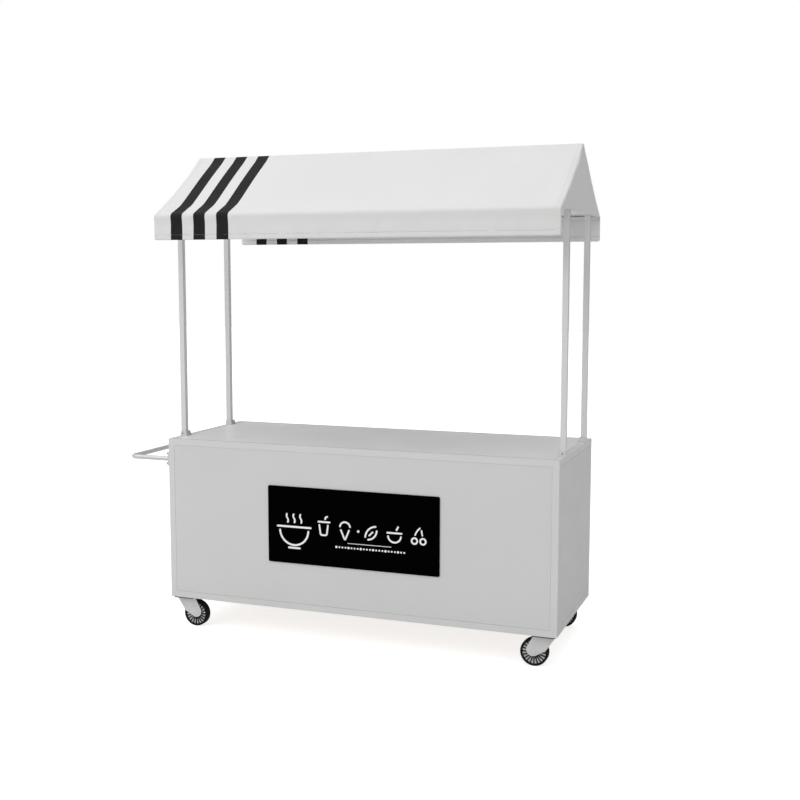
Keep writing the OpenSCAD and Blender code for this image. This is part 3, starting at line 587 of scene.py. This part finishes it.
tree.links.new(cloth_colour.outputs["Result"], shader.inputs["Base Color"])
gloss = use(tree, uneven, Scale=9.0, Low=0.70, High=0.84)
tree.links.new(gloss.outputs["Level"], shader.inputs["Roughness"])
shader.inputs["Specular IOR Level"].default_value = 0.2
shader.inputs["Sheen Weight"].default_value = 0.03
shader.inputs["Sheen Roughness"].default_value = 0.5
fabric = use(tree, weave)
slub = use(tree, grain, Scale=160.0)
relief = add(tree, "ShaderNodeBump", Strength=0.35, Distance=0.0003)
tree.links.new(maths(tree, "ADD", fabric.outputs["Height"], slub.outputs["Height"]), relief.inputs["Height"])
tree.links.new(relief.outputs["Normal"], shader.inputs["Normal"])
finishes["canopy_cloth"] = canvas
finishes["thread"] = hard_finish("thread", 0.42, 0.7, shade=0.9, patch_scale=400.0, grain_scale=2500.0)
print("bands:", band_count, "of", band_width, "m")

# %% [markdown]
# ## The cloth's section
#
# The canopy is one sheet that lies over the ridge tube and the eave rails, and hangs down at front and back.
# Its half-section is worked out from those tubes: an arc over the ridge, a slope that dips a little between
# its supports, a soft round over the eave rail, and a hanging edge that leans in and out by a few degrees.
# The dip is deepest low on the slope, and it fades out at the ends, where the side rails carry the cloth.

# %% The half-section, from the ridge to the hem
cloth_t = 0.0012
cloth_gap = 0.0012
pitch = radians(35)
dip = 0.009
eave_round = 0.022
valance_gap = 0.0041
ridge_rows, slope_rows, eave_rows = 2, 24, 4
ridge_low, ridge_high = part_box("ridge_tube")
rail_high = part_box("eave_rails")[1]
cover_low, cover_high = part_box("canopy_cover")
middle_x = (cover_low[0] + cover_high[0]) / 2
ridge_z = (ridge_low[2] + ridge_high[2]) / 2
over_ridge = (ridge_high[2] - ridge_low[2]) / 2 + cloth_gap + cloth_t / 2
valance_y = rail_high[1] + valance_gap
hang = [(0.012, -6), (0.012, -8), (0.012, -3), (0.012, 9), (0.012, 11), (0.011, 7),
        (0.010, -14), (0.011, -12), (0.012, 4)]  # a length in metres and a lean in degrees, + is outwards


def half_section():
    """Points (distance from the middle, height) along the middle of the cloth."""
    outward = Vector((sin(pitch), cos(pitch)))
    points = []
    for i in range(ridge_rows + 1):
        a = pitch * i / ridge_rows
        points.append(Vector((over_ridge * sin(a), ridge_z + over_ridge * cos(a))))
    round_y = valance_y - eave_round
    round_z = ridge_z + (over_ridge - eave_round - round_y * sin(pitch)) / cos(pitch)
    centre = Vector((round_y, round_z))
    top, foot = points[-1], centre + outward * eave_round
    for i in range(1, slope_rows + 1):
        t = i / slope_rows
        points.append(top.lerp(foot, t))
    for i in range(1, eave_rows + 1):
        a = pitch + (pi / 2 - pitch) * i / eave_rows
        points.append(centre + Vector((sin(a), cos(a))) * eave_round)
    for length, lean in hang:
        points.append(points[-1] + Vector((sin(radians(lean)), -cos(radians(lean)))) * length)
    return points


half = half_section()
lengths = [0.0]
for here, there in zip(half, half[1:]):
    lengths.append(lengths[-1] + (there - here).length)
last = len(half) - 1
eave_row = last - len(hang)
print("half-section:", round(lengths[-1], 4), "m, hem at", round(half[-1].y, 4))
print("the CAD cover's edge is at", round(cover_low[2], 4))

# %% [markdown]
# ## The cloth as one sheet
#
# A flat grid is bent to that section, row by row. Each end of the grid is then extruded straight down to
# make a gable, so roof, hanging edges and gables stay one sheet, as they are when they are sewn. The seam of
# a gable is smoothed where no tube holds it. Two numbers are kept with each point, its place on the flat
# cloth, and these become the cloth's map.

# %% Bend a grid to the section
columns = 96
end_gap, gable_drop = 0.0016, 0.0015
dip_from, dip_fade, dip_peak = 0.02, 0.06, 12.2  # t ** 4 * (1 - t) is about 1 / dip_peak at most
broad_wave, fine_wave = 0.0045, 0.0016
free_share, free_rows = 0.85, 4
half_cloth = (cover_high[0] - cover_low[0]) / 2 - end_gap
gable_z = rail_high[2] - gable_drop
sheet = bmesh.new()
flat_u = sheet.verts.layers.float.new("flat_u")
flat_v = sheet.verts.layers.float.new("flat_v")
held_at = sheet.verts.layers.float.new("held_at")
bmesh.ops.create_grid(sheet, x_segments=columns, y_segments=2 * last, size=0.5)
for v in sheet.verts:
    row = round((v.co.y + 0.5) * 2 * last) - last
    side = -1 if row < 0 else 1
    along_x = v.co.x * 2 * half_cloth
    y, z = half[abs(row)]
    down = max(0, abs(row) - eave_row) / len(hang)
    t = max(0, abs(row) - ridge_rows) / slope_rows
    inside = min(1.0, max(0.0, (half_cloth - abs(along_x) - dip_from) / dip_fade))
    low = dip * inside * max(0.0, dip_peak * t ** 4 * (1 - t))
    y, z = y - low * sin(pitch), z - low * cos(pitch)
    broad = noise.noise((along_x * 2.1, side * 3.7, 0.0)) * broad_wave
    small = noise.noise((along_x * 5.5, side * 9.1, 2.0)) * fine_wave
    v.co = (middle_x + along_x, side * (y + (broad + small) * down), z)
    v[flat_u] = along_x + half_cloth
    v[flat_v] = side * lengths[abs(row)]
    from_eave = max(0, eave_row - eave_rows - abs(row), abs(row) - eave_row)
    v[held_at] = 1.0 - free_share * min(1.0, abs(row) / free_rows, from_eave / free_rows)
print("roof and hanging edges:", len(sheet.verts), "points")

# %% Extrude a gable down from each end
corner_h = 0.004
for end in (-1, 1):
    edge_x = middle_x + end * half_cloth
    rim = [e for e in sheet.edges if all(abs(v.co.x - edge_x) < 1e-5 and v.co.z > gable_z for v in e.verts)]
    made = bmesh.ops.extrude_edge_only(sheet, edges=rim)["geom"]
    for v in made:
        if isinstance(v, bmesh.types.BMVert):
            height = v.co.z - gable_z
            if height > corner_h:
                v[flat_u] += end * height
                v.co.z = gable_z
            v[held_at] = 1.0
bmesh.ops.remove_doubles(sheet, verts=sheet.verts, dist=1e-5)
print("with gables:", len(sheet.verts), "points")

# %% Cut the gables into rows, and let them bulge a little
gable_bulge = 0.0015
for y, z in half[ridge_rows:ridge_rows + 1 + slope_rows]:
    gable = [f for f in sheet.faces if all(abs(v.co.x - middle_x) > half_cloth - 1e-5 for v in f.verts)]
    parts = {p for f in gable for p in (f, *f.edges, *f.verts)}
    bmesh.ops.bisect_plane(sheet, geom=list(parts), dist=1e-6, plane_co=(0, 0, z), plane_no=(0, 0, 1))
for v in sheet.verts:
    if v.co.z > gable_z + 0.001 and abs(v.co.x - middle_x) > half_cloth - 1e-5:
        out = 1 if v.co.x > middle_x else -1
        bulge = sin(pi * min(1.0, (v.co.z - gable_z) / (ridge_z - gable_z)))
        v.co.x += out * gable_bulge * bulge * (1 + noise.noise((v.co.y * 6, v.co.z * 6, out)))
print("with rows in the gables:", len(sheet.verts), "points")

# %% Soften the gable seams, most at mid-height
seam_turns, seam_reach = 7, 0.045
seam_clear, seam_step = 0.03, 0.012
slope_top, slope_foot = half[ridge_rows].x, half[ridge_rows + slope_rows].x
for turn in range(seam_turns):
    clear = seam_clear + seam_step * turn
    seam = [v for v in sheet.verts if abs(abs(v.co.x - middle_x) - half_cloth) < seam_reach
            and slope_top + clear < abs(v.co.y) < slope_foot - clear and v.co.z > gable_z + clear]
    bmesh.ops.smooth_vert(sheet, verts=seam, factor=0.5, use_axis_x=True, use_axis_y=True, use_axis_z=True)
bmesh.ops.recalc_face_normals(sheet, faces=sheet.faces)
print("cloth grid:", len(sheet.verts), "points")

# %% Put the sheet in the scene, with its map and what holds it
cloth_mesh = bpy.data.meshes.new("canopy_sheet")
to_map = sheet.loops.layers.uv.new("cloth")
for face in sheet.faces:
    for loop in face.loops:
        loop[to_map].uv = (loop.vert[flat_u], loop.vert[flat_v])
sheet.verts.ensure_lookup_table()
held = [v[held_at] for v in sheet.verts]
rows_of = [(v[flat_u], v[flat_v]) for v in sheet.verts]
sheet.to_mesh(cloth_mesh)
sheet.free()
canopy = bpy.data.objects.new("canopy_sheet", cloth_mesh)
scene.collection.objects.link(canopy)
cloth_mesh.materials.append(finishes["canopy_cloth"])
cloth_mesh.shade_smooth()
holds = canopy.vertex_groups.new(name="holds")
for i, weight in enumerate(held):
    holds.add([i], weight, "REPLACE")
print("held points:", sum(w > 0.99 for w in held), "of", len(held))

# %% [markdown]
# ## Let the cloth hang
#
# The sheet is now settled by cloth simulation: it is held along the ridge, the eaves and the gable hems, and
# gravity does the rest. No point may move more than a few millimetres, because real canvas is pulled tight
# over its frame. The result is written into the mesh, and no cloth modifier stays on the piece.

# %% Cloth simulation, written into the mesh
settle_frames = 22
most_moved = 0.006
drape = canopy.modifiers.new("drape", "CLOTH")
drape.settings.quality = 6
drape.settings.mass = 0.25
drape.settings.tension_stiffness = 60
drape.settings.compression_stiffness = 60
drape.settings.shear_stiffness = 20
drape.settings.bending_stiffness = 1.5
drape.settings.tension_damping = 12
drape.settings.vertex_group_mass = "holds"
drape.settings.pin_stiffness = 2.0
drape.settings.shrink_min = -0.004
drape.point_cache.frame_start = 1
drape.point_cache.frame_end = settle_frames
for number in range(1, settle_frames + 1):
    scene.frame_set(number)
settled = canopy.evaluated_get(bpy.context.evaluated_depsgraph_get())
places = [v.co.copy() for v in settled.data.vertices]
canopy.modifiers.remove(drape)
scene.frame_set(1)
moved = 0.0
for v, place in zip(cloth_mesh.vertices, places):
    step = place - v.co
    if step.length > most_moved:
        step *= most_moved / step.length
    moved = max(moved, step.length)
    v.co += step
print("cloth moved at most", round(moved * 1000, 1), "mm")

# %% Keep the settled cloth off the tubes, then finish it
peak_width, hair = 0.03, 0.001
for v in cloth_mesh.vertices:
    reach = abs(v.co.x - middle_x)
    if reach > half_cloth - 2 * hair and v.co.z > gable_z - hair and abs(v.co.y) < peak_width:
        v.co.x = middle_x + (1 if v.co.x > middle_x else -1) * max(reach, half_cloth)
smooth = canopy.modifiers.new("smooth", "SUBSURF")
smooth.levels = 1
smooth.render_levels = 1
thick = canopy.modifiers.new("thick", "SOLIDIFY")
thick.thickness = cloth_t
thick.offset = 0
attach(canopy, "root")
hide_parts("canopy_cover")
print("canopy:", len(cloth_mesh.polygons), "faces before smoothing")

# %% [markdown]
# ## Hems and stitches
#
# A raw edge of canvas would fray, so it is folded over and stitched. The hem is made from the settled cloth
# itself: its lowest rows are copied and made thicker. The stitches are tiny blocks, set along the rows that
# the thread follows. A search tree finds the cloth's real surface under each one.

# %% The hem: the lowest rows of the hanging edges, thicker
hem_rows = 2
hem_t = 0.0034
hem_from = lengths[last - hem_rows] - 1e-4
hem = bmesh.new()
hem.from_mesh(cloth_mesh)
hem.verts.ensure_lookup_table()
in_hem = {i for i, (u, v) in enumerate(rows_of) if abs(v) > hem_from}
bmesh.ops.delete(hem, geom=[v for v in hem.verts if v.index not in in_hem], context="VERTS")
hem_piece = make_piece(hem, "canopy_hems", "root", "canopy_cloth")
hem_smooth = hem_piece.modifiers.new("smooth", "SUBSURF")
hem_smooth.levels = 1
hem_smooth.render_levels = 1
hem_thick = hem_piece.modifiers.new("thick", "SOLIDIFY")
hem_thick.thickness = hem_t
hem_thick.offset = 0
print("hems:", len(hem_piece.data.polygons), "faces")

# %% Stitches along the hems and down the gable seams
stitch_pitch, stitch_l, stitch_w, stitch_h = 0.008, 0.0050, 0.0007, 0.0006
above_cloth, faces_away = 0.004, 0.2
above_hem, hem_band = 0.019, 0.0065
beside_seam, seam_band = 0.02, 0.009
bpy.context.view_layer.update()
surface = BVHTree.FromObject(canopy, bpy.context.evaluated_depsgraph_get())
hem_surface = BVHTree.FromObject(hem_piece, bpy.context.evaluated_depsgraph_get())
stitches = bmesh.new()


def stitch_along(points, tree, outward):
    """Stitches at an even pitch along a line of points, on the side of the cloth that outward points to."""
    run = 0.0
    for here, there in zip(points, points[1:]):
        gap = (there - here).length
        while run < gap:
            spot = here.lerp(there, run / gap)
            run += stitch_pitch
            place, facing = tree.find_nearest(spot + outward * above_cloth)[:2]
            if place is None or facing.dot(outward) < faces_away:
                continue
            ahead = (there - here).normalized()
            across = facing.cross(ahead).normalized()
            turn = Matrix((ahead, across, across.cross(ahead) * -1)).transposed().to_4x4()
            seat = Matrix.Translation(place) @ turn @ Matrix.Diagonal((stitch_l, stitch_w, stitch_h, 1))
            bmesh.ops.create_cube(stitches, size=1.0, matrix=seat)
        run -= gap


for side in (-1, 1):
    line = [v.co.copy() for v, (u, w) in zip(cloth_mesh.vertices, rows_of)
            if abs(w - side * (lengths[last] - above_hem)) < hem_band and 0 <= u <= 2 * half_cloth]
    line.sort(key=lambda p: p.x)
    stitch_along(line, hem_surface, Vector((0, side, 0)))
for end in (-1, 1):
    for side in (-1, 1):
        line = [v.co.copy() for v, (u, w) in zip(cloth_mesh.vertices, rows_of)
                if abs((u - half_cloth) * end - half_cloth + beside_seam) < seam_band
                and 0 < side * w < lengths[eave_row]]
        line.sort(key=lambda p: p.y)
        stitch_along(line, surface, Vector((0, side * 0.5, 0.8)))
bmesh.ops.recalc_face_normals(stitches, faces=stitches.faces)
print("stitches:", len(stitches.faces) // 6)
thread = make_piece(stitches, "canopy_stitches", "root", "thread")

# %% [markdown]
# ## Sign
#
# The sign is a black acrylic board with white shapes cut from 1.5 mm acrylic and glued on. The shapes are
# plain pictures of what such a cart sells: a steaming bowl, a cup, a cone, a leaf, a small bowl and cherries.
# Each stroke is drawn like a pen line: a short edge is pushed ahead, or spun about a centre to turn. The flat
# strokes then get rounded ends and a thickness.

# %% A pen that draws flat strokes
glyphs = bmesh.new()


def stroke(start, heading, moves, width=8.0):
    """A stroke in the XY plane, in mm. A move is a length to go ahead, or (radius, angle): + turns left."""
    at, way = Vector((*start, 0)) * mm, radians(heading)
    side = Vector((-sin(way), cos(way), 0)) * width * mm / 2
    nib = [glyphs.verts.new(at + side), glyphs.verts.new(at - side)]
    edge = glyphs.edges.new(nib)
    ends = list(nib)
    for move in moves:
        if isinstance(move, tuple):
            radius, angle = move
            turn = radians(angle) * (1 if radius > 0 else -1)
            left = Vector((-sin(way), cos(way), 0))
            centre = (edge.verts[0].co + edge.verts[1].co) / 2 + left * radius * mm
            steps = max(3, int(abs(angle) / 9))
            made = bmesh.ops.spin(glyphs, geom=[*edge.verts, edge], cent=centre, axis=(0, 0, 1),
                                  angle=turn, steps=steps)["geom_last"]
            way += turn
        else:
            made = bmesh.ops.extrude_edge_only(glyphs, edges=[edge])["geom"]
            ahead = Vector((cos(way), sin(way), 0)) * move * mm
            pushed = [g for g in made if isinstance(g, bmesh.types.BMVert)]
            bmesh.ops.translate(glyphs, verts=pushed, vec=ahead)
        edge = next(g for g in made if isinstance(g, bmesh.types.BMEdge))
    ends += list(edge.verts)
    bmesh.ops.bevel(glyphs, geom=ends, offset=width * mm * 0.48, offset_type="OFFSET", segments=4,
                    profile=0.5, affect="VERTICES", material=-1)


def disc(middle, radius, hole=0.0):
    """A flat round dot in the XY plane, or a ring if hole is the radius of its hole, in mm."""
    spot = Vector((*middle, 0)) * mm
    if hole:
        rim = [glyphs.verts.new(spot + Vector((r * mm, 0, 0))) for r in (hole, radius)]
        bmesh.ops.spin(glyphs, geom=[*rim, glyphs.edges.new(rim)], cent=spot, axis=(0, 0, 1),
                       angle=2 * pi, steps=40, use_merge=True)
    else:
        bmesh.ops.create_circle(glyphs, cap_ends=True, radius=radius * mm, segments=24,
                                matrix=Matrix.Translation(spot))

# %% The steaming bowl, at the left of the sign
bowl_x, bowl_y, bowl_r = -287, -13, 72
stroke((bowl_x - bowl_r, bowl_y - 8), 270, [(bowl_r, 180)], 9)
stroke((bowl_x - 88, bowl_y + 6), 0, [176], 9)
stroke((bowl_x - 32, bowl_y - 93), 0, [64], 9)
for step in (-34, 0, 34):
    stroke((bowl_x + step, bowl_y + 24), 50, [(17, 80), (-17, 80)], 8)
print("bowl:", 2 * bowl_r, "mm wide")

# %% Five small pictures and a dot
middle_y = -4
stroke((-160, middle_y + 20), 278, [44, (8, 82), 16, (8, 82), 44])
stroke((-168, middle_y + 31), 0, [64])
stroke((-131, middle_y + 41), 78, [8, (-8, 60), 8])
stroke((-54, middle_y + 4), 293, [48, (3, 134), 48])
stroke((-57, middle_y + 13), 90, [(-25, 180)])
disc((33, middle_y), 6)
stroke((67, middle_y - 26), 90, [(-54, 90)])
stroke((77, middle_y - 34), 0, [(46, 90)])
stroke((84, middle_y - 17), 45, [30], 7)
stroke((177, middle_y - 6), 270, [(31, 180)])
stroke((170, middle_y + 6), 0, [76])
stroke((216, middle_y + 17), 62, [24])
for side in (-1, 1):
    disc((323 + side * 20, middle_y - 22), 17, 9)
stroke((305, middle_y + 2), 74, [(-70, 38)], 7)
stroke((341, middle_y + 2), 108, [(-90, 18)], 7)
print("bowl and small pictures:", len(glyphs.faces), "faces")

# %% The rule and the row of dots under them
stroke((-20, -63), 0, [213], 2.4)
dot_count, dot_pitch = 23, 15
for i in range(dot_count):
    disc((-75 + i * dot_pitch, -84), 4.2 if i % 4 else 5.6)
acrylic_t = 1.5 * mm
bmesh.ops.recalc_face_normals(glyphs, faces=glyphs.faces)
for face in glyphs.faces:
    if face.normal.z < 0:
        face.normal_flip()
bmesh.ops.solidify(glyphs, geom=glyphs.faces[:], thickness=acrylic_t)
bmesh.ops.recalc_face_normals(glyphs, faces=glyphs.faces)
lowest = min(v.co.z for v in glyphs.verts)
sign_low, sign_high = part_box("sign_board")
bmesh.ops.translate(glyphs, verts=glyphs.verts, vec=(0, 0, -lowest))
bmesh.ops.rotate(glyphs, verts=glyphs.verts, cent=(0, 0, 0), matrix=Matrix.Rotation(pi / 2, 3, "X"))
bmesh.ops.translate(glyphs, verts=glyphs.verts, vec=(
    (sign_low[0] + sign_high[0]) / 2, sign_low[1], (sign_low[2] + sign_high[2]) / 2))
pictures = make_piece(glyphs, "sign_pictures", "root", "white_acrylic")
rounded("sign_board", "sign_black", 0.6 * mm)
print("sign pictures:", len(pictures.data.polygons), "faces")

# %% [markdown]
# ## Casters
#
# Each caster is a plated mounting plate, a pressed fork and a wheel. The plate is coloured near-black as
# painted shade, for the shadow line under the cabinet. The wheel is a light plastic core with a black rubber
# tyre and a black cap with ribs on each side. The tyre is a turned shape, so its section is drawn once, its
# shoulders are rounded, and it is spun about the axle.

# %% A tyre, spun about its axle
tread_t = 10 * mm
shoulder = 4.5 * mm


def tyre(corner):
    """A tyre with round shoulders and a shallow ring in each side wall, in place of the CAD tyre."""
    low, high = (Vector(v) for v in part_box("tyre_" + corner))
    middle = (low + high) / 2
    half_w, outer = (high.y - low.y) / 2, (high.z - low.z) / 2
    inner = outer - tread_t
    ring_depth, ring_in, ring_out = 0.8 * mm, inner + 1.6 * mm, inner + 3.4 * mm
    wall = [(inner, half_w), (ring_in - ring_depth, half_w), (ring_in, half_w - ring_depth),
            (ring_out, half_w - ring_depth), (ring_out + ring_depth, half_w), (outer, half_w)]
    section = wall + [(r, -y) for r, y in reversed(wall)]
    shape = bmesh.new()
    face = shape.faces.new([shape.verts.new(middle + Vector((r, y, 0))) for r, y in section])
    shoulders = [v for v in shape.verts if abs((v.co - middle).x - outer) < 1e-6]
    bmesh.ops.bevel(shape, geom=shoulders, offset=shoulder, offset_type="OFFSET", segments=5,
                    profile=0.5, affect="VERTICES", material=-1)
    outline = [*shape.verts, *shape.edges]
    bmesh.ops.delete(shape, geom=shape.faces[:], context="FACES_ONLY")
    bmesh.ops.spin(shape, geom=outline, cent=middle, axis=(0, 1, 0), angle=2 * pi, steps=72, use_merge=True)
    bmesh.ops.remove_doubles(shape, verts=shape.verts, dist=1e-6)
    bmesh.ops.recalc_face_normals(shape, faces=shape.faces)
    piece = make_piece(shape, "tyre_" + corner + "_turned", "wheel_" + corner, "tyre_rubber")
    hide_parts("tyre_" + corner)
    return piece


for corner in corners:
    piece = tyre(corner)
print("tyre:", len(piece.data.polygons), "faces")

# %% Cores, caps, forks and plates with rounded edges
for corner in corners:
    rounded("core_" + corner, "wheel_core", 0.8 * mm)
    rounded("caps_" + corner, "black_plastic", 0.7 * mm, segments=2, sharper_than=60)
    rounded("fork_" + corner, "fork_steel", 0.6 * mm, segments=2, sharper_than=60)
# the plates' near-black is painted shade for the shadow line under the cabinet
rounded("caster_plates", "dark_zinc", 0.8 * mm)
print("caster pieces:", 3 * len(corners) + 1)

# %% A low domed head at each end of an axle
head_r, head_h, head_round = 9.5 * mm, 1.3 * mm, 0.3 * mm
for corner in corners:
    low, high = (Vector(v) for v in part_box("axle_" + corner))
    middle = (low + high) / 2
    shape = bmesh.new()
    for side in (-1, 1):
        face_y = high.y if side > 0 else low.y
        seat = Matrix.Translation((middle.x, face_y + side * head_h / 2, middle.z))
        bmesh.ops.create_cone(shape, cap_ends=True, segments=40, radius1=head_r, radius2=head_r * 0.8,
                              depth=head_h, matrix=seat @ Matrix.Rotation(-side * pi / 2, 4, "X"))
    rims = [e for e in shape.edges if e.calc_face_angle(0) > radians(20)]
    bmesh.ops.bevel(shape, geom=rims, offset=head_round, offset_type="OFFSET", segments=2, profile=0.5,
                    affect="EDGES", material=-1)
    make_piece(shape, "axle_heads_" + corner, "swivel_" + corner, "fork_steel")
print("axle heads:", 2 * len(corners))
